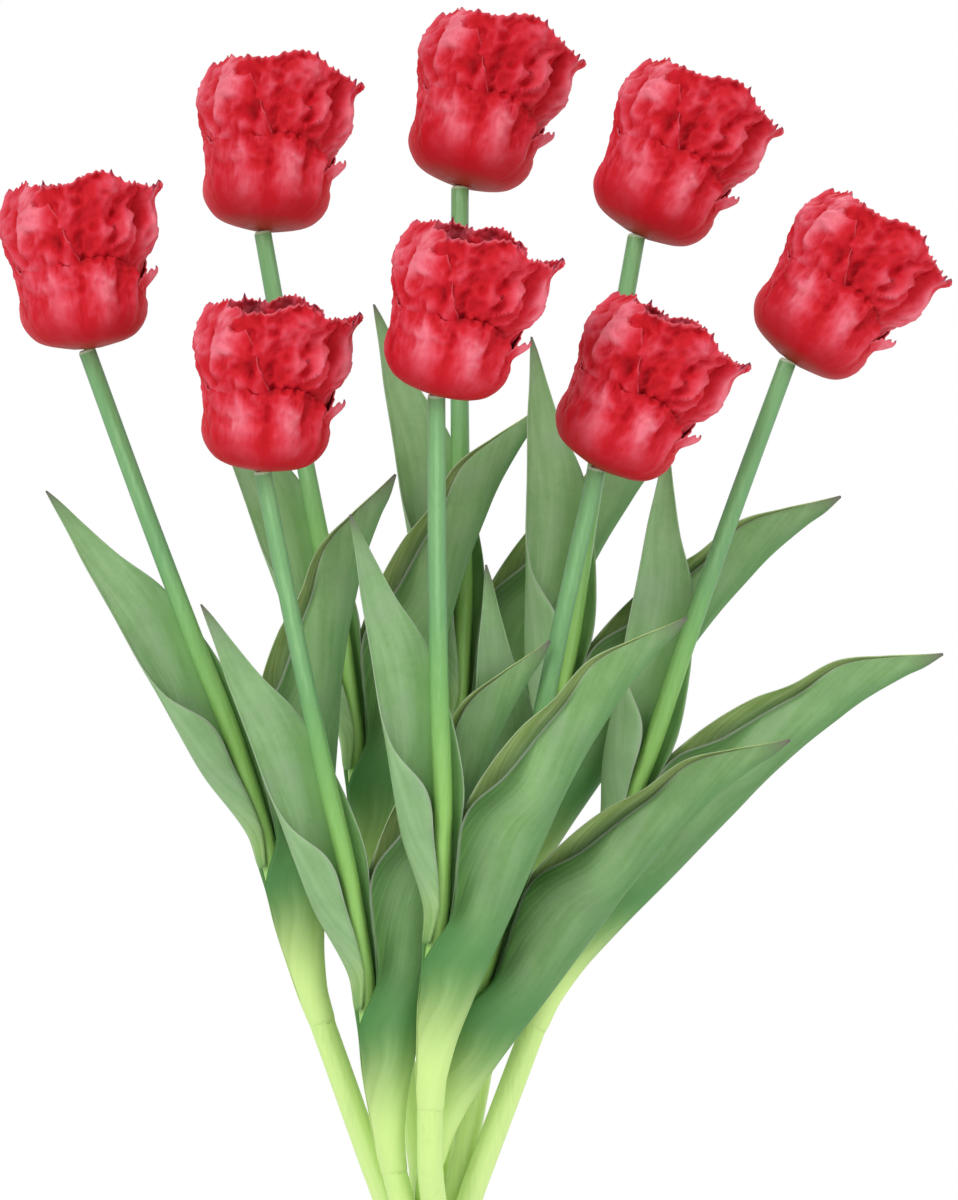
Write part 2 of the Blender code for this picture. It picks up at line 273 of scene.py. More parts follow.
def leafPaint():
    paint = newPaint("leafGreen")
    marks = [paint.attribute(name) for name in leafMarks]
    down, side, tip, keel, inner, strip, shade, fold, opened, folded = marks
    veins = paint.strands((9, 0.16, 1), 1.7, 3, 0.55)
    bands = paint.strands((2.2, 0.14, 1), 1.5, 2, 0.5, 0.3)
    broad = paint.strands((0.7, 0.3, 1), 1.3, 2, 0.5, 0.4)
    clouds = paint.noise(60, 2, 0.5)
    specks = paint.noise(420, 2, 0.6)
    tone = 0.52 + (veins - 0.5) * 0.3 + (bands - 0.5) + (broad - 0.5) * 0.8 + (specks - 0.5) * 0.25
    green = paint.ramp(
        tone.clamped(),
        (0.0, 96, 136, 78), (0.35, 117, 156, 99), (0.6, 133, 170, 116), (0.85, 146, 180, 131),
        (1.0, 163, 193, 150),
    )
    grey = paint.mix(clouds, (122, 150, 116), (140, 160, 134))
    greyer = paint.range(clouds + bands * 0.4, 0.6, 0.95)
    green = paint.cover(green, (greyer * 0.45, grey), (fold * 0.3, (140, 176, 128)))
    green = paint.mix(folded * 0.55, green, (214, 228, 198), "MULTIPLY")
    veinMask = paint.range(veins + (bands - 0.5) * 0.6, 0.35, 0.75)
    dark = paint.range(down + (clouds - 0.5) * 16, *tones["leafDarkens"])
    pale = paint.range(down + (bands - 0.5) * 8, *tones["leafPales"])
    green = paint.cover(
        green,
        # the folded-back strip's own yellower green, lifted by painted light where the front layer shades it
        (strip * 0.85, paint.mix(veinMask, (160, 192, 104), (200, 224, 150))),
        (shade * 0.8, (108, 166, 76)),
        # painted shade in the pocket between the stem and the front layer
        (inner * 0.95, paint.mix(veinMask, (40, 82, 20), (62, 108, 36))),
        # painted shade darkening the blade towards its keel
        (keel * 0.6, (80, 126, 74)),
        (dark * (1 - paint.range(down, *tones["leafDarkEnds"])) * 0.75, (76, 132, 68)),
        (pale * 0.97, paint.mix(bands, (194, 226, 132), (208, 234, 150))),
        (paint.range(side, 0.96, 1.0) * opened * 0.6, (160, 168, 154)),
        (tip, (100, 90, 88)),
    )
    return paint.finish(
        Base_Color=green,
        Roughness=0.52 + (bands - 0.5) * 0.16,
        Normal=paint.bump(veins + clouds, 0.3, 0.0005, paint.bump(specks, 0.15, 0.0004)),
        Specular_IOR_Level=0.3,
    )


def stemPaint():
    paint = newPaint("stemGreen")
    down, facing = paint.attribute("down"), paint.attribute("facing")
    ribs = paint.noise(700, 3, 0.6, stretch=(1, 1, 0.05))
    blotches = paint.noise(90, 2, 0.5, stretch=(1, 1, 0.2))
    green = paint.ramp(
        (down / tones["stemLength"]).clamped(),
        (0.0, 112, 162, 104), (0.18, 106, 158, 100), (0.25, 114, 168, 92), (0.36, 136, 186, 92),
        (0.48, 154, 204, 104), (0.58, 196, 228, 134), (1.0, 214, 236, 158),
    )
    upper = 1 - paint.range(down, *tones["stemUpper"])
    # painted shade on the sides of the upper stem and a painted highlight stripe on its front and back
    side = 1 - paint.range(facing + (ribs - 0.5) * 0.6, -0.6, 0.2)
    highlightStripe = paint.range(facing + (ribs - 0.5) * 0.3, 0.8, 0.98) * paint.range(blotches, 0.3, 0.6)
    tone = (ribs - 0.5) * 0.8 + (blotches - 0.5) * 0.6
    green = paint.cover(
        green,
        (side * upper * 0.5, (92, 138, 98)),
        (highlightStripe * upper * 0.45, (140, 190, 130)),
        ((tone * 1.2).clamped() * 0.4, (176, 212, 150)),
        ((tone * -1.2).clamped() * 0.45, (74, 122, 66)),
        ((1 - paint.range(down, *tones["stemCut"])) * 0.8, (214, 226, 196)),
    )
    return paint.finish(
        Base_Color=green,
        Roughness=0.4 + (blotches - 0.5) * 0.2,
        Normal=paint.bump(ribs, 0.3, 0.0005),
        Specular_IOR_Level=0.4,
    )


def centrePaint():
    paint = newPaint("centreYellow")
    anther, height = paint.attribute("anther"), paint.attribute("height")
    grain = paint.noise(900, 3, 0.6)
    body = paint.ramp(
        (height / tones["centreHeight"]).clamped(),
        (0.0, 196, 196, 110), (0.6, 170, 186, 92), (1.0, 214, 206, 120),
    )
    body = paint.mix((grain - 0.35).clamped() * 0.6, body, (140, 150, 70))
    pollen = paint.mix(grain, (38, 22, 30), (88, 60, 52))
    return paint.finish(
        Base_Color=paint.mix(anther, body, pollen),
        Roughness=0.62 + (grain - 0.5) * 0.3,
        Normal=paint.bump(grain, 0.6, 0.0004),
    )


def strapPaint():
    paint = newPaint("strapGreen")
    grain = paint.noise(1500, 3, 0.6, stretch=(1, 1, 1.6))
    broad = paint.noise(120, 2, 0.5)
    green = paint.mix(grain, (88, 138, 76), (116, 164, 98))
    return paint.finish(
        Base_Color=paint.mix((broad - 0.4).clamped(), green, (70, 114, 60)),
        Roughness=0.5 + (grain - 0.5) * 0.3,
        Normal=paint.bump(grain, 0.3, 0.0003),
        Specular_IOR_Level=0.35,
    )


def steelPaint():
    paint = newPaint("wireSteel")
    drawn = paint.noise(2600, 3, 0.6, stretch=(1, 1, 0.04))
    return paint.finish(
        Base_Color=paint.mix(drawn, (150, 150, 152), (205, 205, 206)),
        Metallic=1.0,
        Roughness=0.28 + drawn * 0.25,
        Normal=paint.bump(drawn, 0.3, 0.0002),
    )


def floorPaint():
    paint = newPaint("studioFloor")
    grain = paint.noise(6, 2, 0.5)
    grey = paint.mix(grain, (238, 238, 238), (244, 244, 244))
    return paint.finish(Base_Color=grey, Roughness=0.8)


# by the name of the record's slot
paints = dict(
    petal_red=petalPaint(),
    leaf_green=leafPaint(),
    stem_green=stemPaint(),
    centre_yellow=centrePaint(),
    strap_green=strapPaint(),
)
print("paint mixed")


def setMark(mesh, key, numbers):
    # one number at each point, for paint or for a graph
    mesh.attributes.new(key, "FLOAT", "POINT").data.foreach_set("value", numbers)


def addObject(name, data, place=(0, 0, 0)):
    thing = bpy.data.objects.new(name, data)
    thing.location = place
    bpy.context.scene.collection.objects.link(thing)
    return thing


def ring(radius, height, count):
    # points of a level circle
    turns = [2 * pi * index / count for index in range(count)]
    return [Vector((radius * cos(turn), radius * sin(turn), height)) for turn in turns]


def gridMesh(name, rows, values, uvs, closed=False):
    # a sheet through rows of points, with named numbers and a place on the UV map at each
    width = len(rows[0])
    points = [point * mm for row in rows for point in row]
    faces = []
    for row in range(len(rows) - 1):
        for column in range(width if closed else width - 1):
            after = (column + 1) % width
            here, above = row * width, (row + 1) * width
            faces.append((here + column, here + after, above + after, above + column))
    mesh = bpy.data.meshes.new(name)
    mesh.from_pydata(points, [], faces)
    for key, numbers in values.items():
        setMark(mesh, key, numbers)
    layer = mesh.uv_layers.new(name="UVMap")
    for loop in mesh.loops:
        layer.data[loop.index].uv = uvs[loop.vertex_index]
    mesh.shade_smooth()
    return mesh


def pathMesh(name, points, closed=False):
    mesh = bpy.data.meshes.new(name)
    count = len(points)
    edges = [(index, (index + 1) % count) for index in range(count if closed else count - 1)]
    mesh.from_pydata([point * mm for point in points], edges, [])
    return mesh


def addPiece(mesh, body, slot, node, wall=0.0, offset=0.0, margins=None):
    # margins gives each point its share of the wall, so that free edges come out thin
    piece = addObject(mesh.name, mesh)
    mesh.materials.clear()
    mesh.materials.append(paints[slot])
    if wall:
        shell = piece.modifiers.new("wall", "SOLIDIFY")
        shell.thickness, shell.offset = wall * mm, offset
        if margins:
            group = piece.vertex_groups.new(name="wall")
            for index, share in enumerate(margins):
                group.add([index], share, "REPLACE")
            shell.vertex_group = "wall"
    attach(piece, body)
    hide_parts(node)


class Graph(Nodes):
    # a Geometry Nodes tree with named inputs, of which Paint is the material's
    def __init__(self, name, numbers, counts):
        super().__init__(bpy.data.node_groups.new(name, "GeometryNodeTree"))
        self.keys = {}
        sockets = self.tree.interface
        kinds = (("Geometry", ["Geometry"]), ("Float", numbers), ("Int", counts), ("Material", ["Paint"]))
        for kind, labels in kinds:
            for label in labels:
                socket = sockets.new_socket(label, in_out="INPUT", socket_type=f"NodeSocket{kind}")
                self.keys[label] = socket.identifier
        sockets.new_socket("Geometry", in_out="OUTPUT", socket_type="NodeSocketGeometry")
        self.start = self.tree.nodes.new("NodeGroupInput")

    def given(self, label):
        return Link(self, self.start.outputs[label])

    def shape(self, kind, *inputs, **settings):
        return self.add(f"GeometryNode{kind}", *inputs, **settings)

    def cosine(self, turn):
        return turn.math("COSINE", turn)

    def vector(self, x=0.0, y=0.0, z=0.0):
        return self.add("ShaderNodeCombineXYZ", {0: x, 1: y, 2: z})

    def position(self, axis):
        return self.add("ShaderNodeSeparateXYZ", {0: self.shape("InputPosition")}, axis)

    def path(self):
        return self.shape("MeshToCurve", {"Mesh": self.given("Geometry")})

    def moved(self, geometry, offset):
        return self.shape("SetPosition", {"Geometry": geometry, "Offset": offset})

    def end(self, geometry):
        smooth = self.shape("SetShadeSmooth", {"Geometry": geometry})
        whole = self.shape("RealizeInstances", {"Geometry": smooth})
        painted = self.shape("SetMaterial", {"Geometry": whole, "Material": self.given("Paint")})
        output = self.tree.nodes.new("NodeGroupOutput")
        self.tree.links.new(painted.socket, output.inputs[0])

    def grow(self, name, mesh, **values):
        # runs the tree on a mesh and keeps the result as a plain mesh
        carrier = addObject(name, mesh)
        modifier = carrier.modifiers.new("grow", "NODES")
        modifier.node_group = self.tree
        for label, value in values.items():
            modifier[self.keys[label]] = value
        view = bpy.context.evaluated_depsgraph_get()
        grown = bpy.data.meshes.new_from_object(carrier.evaluated_get(view))
        bpy.data.objects.remove(carrier)
        grown.name = name
        return grown


joints = {joint["name"]: joint for joint in frame["record"]["behaviour"]["joints"]}


def readTulip(name):
    # where one tulip stands; back, up and across make the frame of its head
    stemAxis = Vector(joints[f"head_pull_{name}"]["axis"]).normalized()
    turning = joints[f"petals_turn_{name}"]
    up = Vector(turning["axis"]).normalized()
    back = (Vector((0, 1, 0)) - up * up.y).normalized()
    column, row = bunch["places"][name]
    return dict(
        neck=Vector(turning["pos_m"]) / mm,
        lean=atan2(stemAxis.x, stemAxis.z),
        slope=stemAxis.y / stemAxis.z,
        headTurn=Matrix((back.cross(up), back, up)).transposed(),
        stemAxis=stemAxis,
        foot=Vector((column * bunch["stemPitch"], (row - 1) * bunch["stemPitch"] * sqrt(3) / 2, 0)),
        bow=bunch["bows"][name],
    )


tulips = {name: readTulip(name) for name in bunch["names"]}


def planePoint(tulip, across, down, depth=0.0):
    # a place in the tulip's own leaning plane, measured from its neck
    neck, lean = tulip["neck"], tulip["lean"]
    x = neck.x + across * cos(lean) - down * sin(lean)
    z = neck.z - across * sin(lean) - down * cos(lean)
    return Vector((x, neck.y + tulip["slope"] * (z - neck.z) + depth, z))


stem = dict(
    topRadius=3.15,
    sheathedRadius=3.6,
    footRadius=4.6,
    swell=(246.0, 252.0),
    bore=1.5,
    leastNormal=0.000001,
    dome=((0.9, 0.76), (0.75, 0.87), (0.4, 0.95)),  # height above the neck, share of the radius
    spacing=6.0,
    bendSteps=14,
    straightSteps=(0.66, 0.33, 0),
    sides=30,
    ribs=10.0,
    ribDepth=0.018,  # share of the radius
    # down from the neck, and how far to the right the stem bends there
    shape=((0, 0), (60, 0.2), (110, 1.1), (145, 2.2), (180, 1.2), (217, -1.8), (290, -2.5)),
)


def stemPath(tulip):
    # from the rounded top down to the cut end
    join = (tulip["neck"].z - bunch["joinHeight"]) / cos(tulip["lean"])
    count = round(join / stem["spacing"])
    points = [planePoint(tulip, 0, -rise) for rise, _ in stem["dome"]]
    for index in range(count + 1):
        down = join * index / count
        points.append(planePoint(tulip, smoothValue(stem["shape"], down), down))
    start, end = points[-1], tulip["foot"] + Vector((0, 0, bunch["straightHeight"]))
    span = start.z - end.z
    leaving, arriving = (start - points[-2]).normalized() * span, Vector((0, 0, -span))
    for index in range(1, stem["bendSteps"] + 1):
        points.append(blend(start, leaving, end, arriving, index / stem["bendSteps"]))
    for share in stem["straightSteps"]:
        points.append(tulip["foot"] + Vector((0, 0, bunch["straightHeight"] * share)))
    return points


def stemGraph():
    graph = Graph("stemTube", ("Ribs", "RibDepth"), ("Sides",))
    circle = graph.shape("CurvePrimitiveCircle", {"Resolution": graph.given("Sides"), "Radius": 1.0})
    swell = graph.cosine(graph.shape("SplineParameter") * (2 * pi) * graph.given("Ribs"))
    scaled = {0: graph.shape("InputPosition"), "Scale": swell * graph.given("RibDepth")}
    ribbed = graph.moved(circle, graph.add("ShaderNodeVectorMath", scaled, operation="SCALE"))
    width = graph.shape("InputNamedAttribute", {"Name": "width"}, data_type="FLOAT")
    graph.end(graph.shape("CurveToMesh", {"Curve": graph.path(), "Profile Curve": ribbed, "Scale": width}))
    return graph


def stemRadius(down, index):
    # thicker where the leaf sheaths end; its top is rounded over
    top, sheathed, foot = stem["topRadius"], stem["sheathedRadius"], stem["footRadius"]
    start, end = stem["swell"]
    radius = top + (sheathed - top) * min(down / start, 1) + (foot - sheathed) * step(start, end, down)
    return radius * stem["dome"][index][1] if index < len(stem["dome"]) else radius


def stemFacing(vertex):
    # 1 on the front and back of the stem, -1 on its sides; it places the painted highlight stripe and the
    # painted shade on the stem's sides
    side, front = vertex.normal.x**2, vertex.normal.y**2
    return (front - side) / max(front + side, stem["leastNormal"])


def makeStems():
    graph = stemGraph()
    for name, tulip in tulips.items():
        points = stemPath(tulip)
        down, downs, widths = 0.0, [], []
        for index, point in enumerate(points):
            down += (point - points[max(index - 1, 0)]).length
            downs.append(down)
            widths.append(stemRadius(down, index) * mm)
        mesh = pathMesh("stemPath", points)
        setMark(mesh, "down", downs)
        setMark(mesh, "width", widths)
        numbers = dict(Sides=stem["sides"], Ribs=stem["ribs"], RibDepth=stem["ribDepth"])
        grown = graph.grow(f"stemTube_{name}", mesh, Paint=paints["stem_green"], **numbers)
        setMark(grown, "facing", [stemFacing(vertex) for vertex in grown.vertices])
        thickest = stem["footRadius"] - stem["bore"]
        walls = [(item.value / mm - stem["bore"]) / thickest for item in grown.attributes["width"].data]
        addPiece(grown, "root", "stem_green", f"stem_{name}", thickest, -1, walls)


makeStems()
print("stems drawn")

# ranges such as folding run from none of a feature to all of it; down is in millimetres below
# the neck, turn in degrees round from the back of the stem
leaf = dict(
    rows=110,
    rowPower=1.15,  # rows closer together near the tip
    columns=dict(small=30, large=44),
    wall=0.6,
    edgeThinning=0.65,
    edgeFrom=0.93,
    footEdge=2.0,
    waveDepth=0.45,
    waveLength=17.0,
    wavePhase=2.2,
    bowReach=60.0,
    openWidth=(6, 16),
    closedDown=(150, 190),
    foldingTurn=(110, 150),
    tipReach=6.0,
    keelShadeShare=(0.6, 1.0),
    innerShadeShare=(0.16, 0.46),
    leastMargin=0.01,
    innerShadeGrowth=(122, 152),
    innerShadeDown=(98, 112),
    innerShadeTurn=(90, 110),
    stripLightTurn=(-62, -20),
    shadeFacing=(-0.2, 0.5),
    shadeReach=7.5,
    shadeDown=(84, 104),
    foldTurn=(70, 110),
    foldWidth=(8, 14),
    uvScale=0.1,
    # sections from tip to base: left edge (across, down), right edge, depth behind and before
    # them, and how far each side turns round from the back
    small=(
        (-31, 42.1, -30.8, 42.2, 0.3, 0.3, 60, 60),
        (-30.4, 47, -27.8, 47, 1, 1, 65, 60),
        (-28.8, 57.6, -22.3, 57.6, 2, 2, 70, 60),
        (-27, 72, -14.4, 72, 3.6, 3.6, 75, 50),
        (-24.1, 88.9, -3.2, 88.9, 5.4, 5.4, 80, 35),
        (-21, 108, 3.6, 108, 6, 6, 90, 40),
        (-18, 124.2, 7.6, 124.2, 6, 6, 120, 70),
        (-15.5, 140, 9.8, 140, 6, 6, 175, 92),
        (-12.2, 158, 8.6, 158, 5.8, 5.8, 185, 105),
        (-4.8, 182, 6.6, 182, 5.5, 5.5, 180, 125),
        (-5, 196, 5, 196, 5, 5, 155, 150),
    ),
    large=(
        (89.2, 78.9, 89.4, 79.2, 0.3, 0.3, 85, 240),
        (80.5, 82.6, 84.6, 85.6, 1, 0.8, 85, 238),
        (70.2, 86.8, 79.2, 91, 1.8, 1, 85, 235),
        (54, 94.7, 68.4, 104, 3.4, 1.6, 88, 228),
        (41.8, 108.5, 61.2, 115, 4.4, 2.6, 90, 215),
        (30.6, 118, 53.3, 128, 5.2, 3.6, 90, 208),
        (19.1, 132, 45, 144, 6.4, 4.6, 90, 212),
        (10.4, 146, 38.9, 158, 7.8, 5.6, 60, 229),
        (1.8, 164, 33.1, 171, 8, 6.6, 34, 197),
        (-4.3, 187, 25.2, 189, 8, 7.2, 32, 184),
        (-5.6, 205, 17.4, 206, 7.4, 7.4, 42, 221),
        (-6.7, 217, 12.6, 217, 6.6, 6.8, 92, 258),
        (-7.1, 230, 7.4, 230, 6.1, 5.8, 92, 255),
        (-7.3, 244, 3.5, 244, 5.8, 5.4, 92, 252),
        (-7.15, 249, 2.85, 249, 5.05, 5, 92, 262),
        (-6.92, 253.5, 2.48, 253.5, 4.7, 4.7, 92, 267),
        (-6.56, 257, 2.08, 257, 4.32, 4.32, 92, 269),
    ),
)


def leafTables(sections):
    # each number of the sections as a smooth curve along the leaf's middle line
    travelled, before, tables = 0.0, None, [[] for _ in range(8)]
    for section in sections:
        middle = (Vector(section[:2]) + Vector(section[2:4])) / 2
        travelled += (middle - before).length if before else 0
        before = middle
        for table, value in zip(tables, section):
            table.append((travelled, value))
    return tables, travelled


def leafPoint(tulip, numbers, bow, along, across):
    # across runs from the left side behind, round the back and the right, to the side in front
    leftX, leftDown, rightX, rightDown, behind, before, leftTurn, rightTurn = numbers
    leftReach, rightReach = sin(radians(min(leftTurn, 90))), sin(radians(min(rightTurn, 90)))
    middle = leftReach / (leftReach + rightReach)
    half = 1 / (leftReach + rightReach)
    width = sqrt((rightX - leftX) ** 2 + (rightDown - leftDown) ** 2)
    turn = -leftTurn + (leftTurn + rightTurn) * across
    share = middle + half * sin(radians(turn))
    x = leftX + (rightX - leftX) * share
    down = leftDown + (rightDown - leftDown) * share
    edge = abs(2 * across - 1)
    opened = step(*leaf["openWidth"], width) * (1 - step(*leaf["closedDown"], down))
    phase = 2 * pi * along / leaf["waveLength"] + leaf["wavePhase"] * across
    wave = leaf["waveDepth"] * edge**4 * opened * sin(phase)
    facing = cos(radians(turn))
    z = (behind if facing > 0 else before) * facing + bow * (x / leaf["bowReach"]) ** 2 + wave
    nearStem = exp(-(((x - smoothValue(stem["shape"], down)) / leaf["shadeReach"]) ** 2))
    folded = step(*leaf["foldingTurn"], rightTurn)
    # how far from the front margin, as a share of the way to the right edge
    margin = middle + half * sin(radians(rightTurn))
    fromMargin = (share - margin) / max(1 - margin, leaf["leastMargin"])
    # painted shade inside the fold, between the stem and the front layer's free margin
    narrow, growth = leaf["innerShadeShare"]
    innerReach = narrow + growth * step(*leaf["innerShadeGrowth"], down)
    inner = (1 - step(0, innerReach, fromMargin)) * step(*leaf["innerShadeDown"], down)
    inner *= step(*leaf["innerShadeTurn"], turn)
    marks = dict(
        down=down,
        side=edge,
        tip=exp(-along / leaf["tipReach"]),
        # painted shade towards the keel of the folded leaf
        keel=step(*leaf["keelShadeShare"], share) * folded,
        inner=inner * folded,
        # folded-back strip: its own yellower green plus painted light against the front layer's shadow
        strip=(1 - step(*leaf["stripLightTurn"], turn)) * folded,
        shade=step(*leaf["shadeFacing"], facing) * nearStem * step(*leaf["shadeDown"], down),
        fold=step(*leaf["foldTurn"], -turn) * step(*leaf["foldWidth"], width),
        opened=opened,
        folded=folded,
    )
    uv = ((across - 0.5) * (leftTurn + rightTurn) / 180 * width * leaf["uvScale"], along * leaf["uvScale"])
    return planePoint(tulip, x, down, z), marks, uv


def leafMesh(name, tulip, size, bow):
    tables, length = leafTables(leaf[size])
    columns = leaf["columns"][size]
    rows, uvs = [], []
    values = {key: [] for key in leafMarks}
    for row in range(leaf["rows"] + 1):
        along = length * (row / leaf["rows"]) ** leaf["rowPower"]
        numbers = [smoothValue(table, along) for table in tables]
        line = []
        for column in range(columns + 1):
            point, marks, uv = leafPoint(tulip, numbers, bow, along, column / columns)
            line.append(point)
            uvs.append(uv)
            for key in values:
                values[key].append(marks[key])
        rows.append(line)
    return gridMesh(name, rows, values, uvs)


def makeLeaves():
    for name, tulip in tulips.items():
        for size, bow in (("small", 0), ("large", tulip["bow"])):
            mesh = leafMesh(f"{size}Leaf_{name}", tulip, size, bow)
            sides, downs = ([item.value for item in mesh.attributes[key].data] for key in ("side", "down"))
            foot = max(downs)
            margins = []
            for side, down in zip(sides, downs):
                edge = max(step(leaf["edgeFrom"], 1, side), step(foot - leaf["footEdge"], foot, down))
                margins.append(1 - leaf["edgeThinning"] * edge)
            addPiece(mesh, "root", "leaf_green", f"{size}_leaf_{name}", leaf["wall"], margins=margins)


makeLeaves()
print("leaves shaped")

# shared by all petals; ranges such as opening run from none of a feature to all of it
petals = dict(
    columns=120,
    rows=56,
    rowPower=1.35,  # rows closer together near the rim
    wall=0.5,
    floorRadii=(1.6, 3.3, 5.0),
    floorStep=3,
    opening=(0, 0.3),
    roughHeight=(30, 44),
    crumple=1.15,
    crumpleRound=2.3,
    crumpleUp=12,
    crumpleHeight=(3, 42),
    crease=1.5,
    creasePlace=(1.9, (4, 8, 2)),
    wrinkle=0.7,
    wrinklePlace=(4.1, (7, 3, 1)),
    ruffle=1.35,
    edgeRuffle=2.2,
    edgeReach=3.5,
    edgeHeight=(8, 22),
    edgeWave=(3.1, 2),
    topRuffle=2.6,
    topReach=4.5,
    topWave=(7, 0.7, 14),
    toothLength=1.9,
    teeth=27,
    toothShift=(0.8, 4, 0.1, 3),
    toothSize=(0.3, 1.9, 1.7, 0.37, 9),
    toothWidth=0.32,
    tipPower=14,
    tipMargin=(0, 0.12),
    sideTeeth=(24, 0.9),
    sideReach=1.2,
    sideHeight=(8, 18),
    sideLength=0.07,
    marginReach=1.6,
    marginHeight=(6, 16),
    innerShadeReach=3.2,
    leanHeight=(26, 64),
    bulgeShadingScale=2.8,
    bulgeShadingPower=1.5,
    bulgeShadingWaves=0.6,
    sideTipTone=0.8,
    toothStart=1.2,
    riseScale=60,
    uvScale=(2.6, 0.1),
)

# centre: bearing of the petal's middle, in degrees
# half, cup: half width in degrees and radius at a height above the base
# rim, rough: rim height and share of crumple across the petal, -1 to 1 from left to right from outside
# bumps: place across, height, reach across, reach up, how far it swells
# lean: how far the middle of the rim shifts in x and y; out: how far the two sides stand out
# fringe: share of the teeth and pale margin; shade, shadeReach: painted shade below the rim, turned into
# painted light where shade is negative
plainPetal = dict(lean=(0, 0), out=(0, 0), rough=((-1, 1), (1, 1)), fringe=1.0, shade=0.0, shadeReach=1.0)
outerHalf = ((0, 60), (2, 72), (6, 74), (10, 70), (16, 66), (60, 62))
innerHalf = ((0, 60), (14, 64), (26, 70), (60, 70))
lowerCup = ((0, 5), (0.8, 9), (2.0, 14), (4.0, 17.8), (8, 20.5), (13, 21.6), (20, 22.0), (27, 22.6))
outerCup = (*lowerCup, (34, 24.4), (44, 26.6))
innerStart = ((0, 5), (1.4, 10), (5, 15.8), (11, 18.6), (19, 19.8), (27, 21.0))
frontPetal = dict(
    plainPetal,
    centre=-88,
    half=((0, 60), (2, 50), (6, 58), (10, 63), (16, 64), (60, 62)),
    lean=(0.5, 4.5),
    out=(0.7, 0.7),
    fringe=0.25,
    shade=2.6,
    shadeReach=5.0,
    cup=(*lowerCup, (34, 23.1), (44, 24.0)),
    rim=(
        (-1, 22), (-0.86, 33), (-0.72, 40.5), (-0.58, 43), (-0.44, 39.5), (-0.33, 34), (-0.2, 32),
        (-0.04, 33), (0.12, 34.5), (0.4, 34), (0.65, 31.5), (0.85, 28), (1, 20),
    ),
    bumps=(
        (-0.36, 21, 0.22, 11, 2.6), (0.31, 20, 0.2, 11, 2.6), (-0.02, 23, 0.055, 12, -1.3),
        (0.52, 24, 0.05, 9, -1.1), (-0.58, 38.5, 0.22, 4, 1.3), (-0.6, 31.5, 0.26, 2.6, -1.0),
        (0.8, 22, 0.08, 9, 1.6),
    ),
)
rightPetal = dict(
    plainPetal,
    centre=32,
    half=outerHalf,
    cup=outerCup,
    rim=(
        (-1, 18), (-0.8, 24), (-0.6, 27.5), (-0.42, 25), (-0.2, 31), (0.1, 33), (0.4, 31), (0.7, 32), (1, 20),
    ),
    bumps=(
        (-0.58, 26, 0.1, 4, 5.2), (-0.35, 15, 0.3, 8, 1.4), (0.2, 20, 0.3, 12, 1.5),
        (0, 20, 0.05, 14, -1.2), (0.6, 22, 0.2, 10, 1.4),
    ),
)
leftPetal = dict(
    plainPetal,
    centre=152,
    half=outerHalf,
    out=(-0.65, 0.0),
    cup=outerCup,
    rim=(
        (-1, 20), (-0.7, 31), (-0.4, 33), (-0.1, 30), (0.2, 33), (0.5, 34), (0.78, 31), (0.9, 27), (1, 18),
    ),
    bumps=(
        (0.7, 27, 0.2, 5, 1.2), (0.4, 14, 0.3, 8, 1.4), (-0.3, 20, 0.3, 12, 1.5), (0, 20, 0.05, 14, -1.2),
    ),
)
crumpledPetal = dict(
    plainPetal,
    centre=318,
    half=((0, 60), (14, 66), (26, 80), (60, 82)),
    lean=(1.5, 9.0),
    out=(-1.2, 0.5),
    rough=((-1, 1.1), (-0.75, 1.4), (-0.45, 1.75), (0.05, 1.8), (0.25, 1.0), (1, 0.9)),
    fringe=0.9,
    cup=(*innerStart, (33, 24.6), (38, 26.6), (43, 26.6), (48, 26.6), (54, 29.0), (62, 31.5)),
    rim=(
        (-1, 56), (-0.9, 60), (-0.76, 61), (-0.62, 61.5), (-0.53, 63.4), (-0.4, 64.8), (-0.28, 63.6),
        (-0.18, 60.2), (0.05, 58.5), (0.25, 56), (0.45, 57.5), (0.7, 56), (0.9, 50), (1, 40),
    ),
    bumps=(
        (-0.36, 58, 0.12, 6, 3.4), (-0.56, 46, 0.06, 12, -2.2), (-0.34, 44, 0.1, 4, 2.8),
        (-0.22, 51, 0.05, 7, -2.6), (-0.12, 45, 0.07, 6, 2.6), (0.02, 52, 0.04, 9, -2.8),
        (0.0, 38, 0.08, 5, 2.0), (0.2, 46, 0.12, 12, 2.4), (0.42, 42, 0.12, 12, 2.0),
        (-0.7, 38, 0.14, 7, -0.5),
    ),
)
backPetal = dict(
    plainPetal,
    centre=90,
    half=innerHalf,
    lean=(0, -8.5),
    out=(-0.5, -0.4),
    rough=((-1, 1.3), (1, 1.3)),
    fringe=0.8,
    shade=-3.0,
    shadeReach=16.0,
    cup=(*innerStart, (35, 23.6), (43, 24.4), (50, 24.0), (56, 23.0), (61, 21.5), (68, 19)),
    rim=(
        (-1, 44), (-0.85, 53), (-0.65, 58), (-0.45, 61), (-0.25, 62.5), (-0.05, 61), (0.1, 59),
        (0.35, 60), (0.6, 59), (0.85, 55), (1, 44),
    ),
    bumps=(
        (-0.32, 57, 0.14, 7, -2.6), (-0.55, 50, 0.1, 8, 2.4), (0.05, 54, 0.1, 9, -2.4),
        (0.28, 50, 0.1, 9, 2.6), (0.5, 54, 0.09, 7, -2.2), (-0.14, 48, 0.06, 9, 2.2),
        (0.68, 42, 0.15, 10, 1.8),
    ),
)
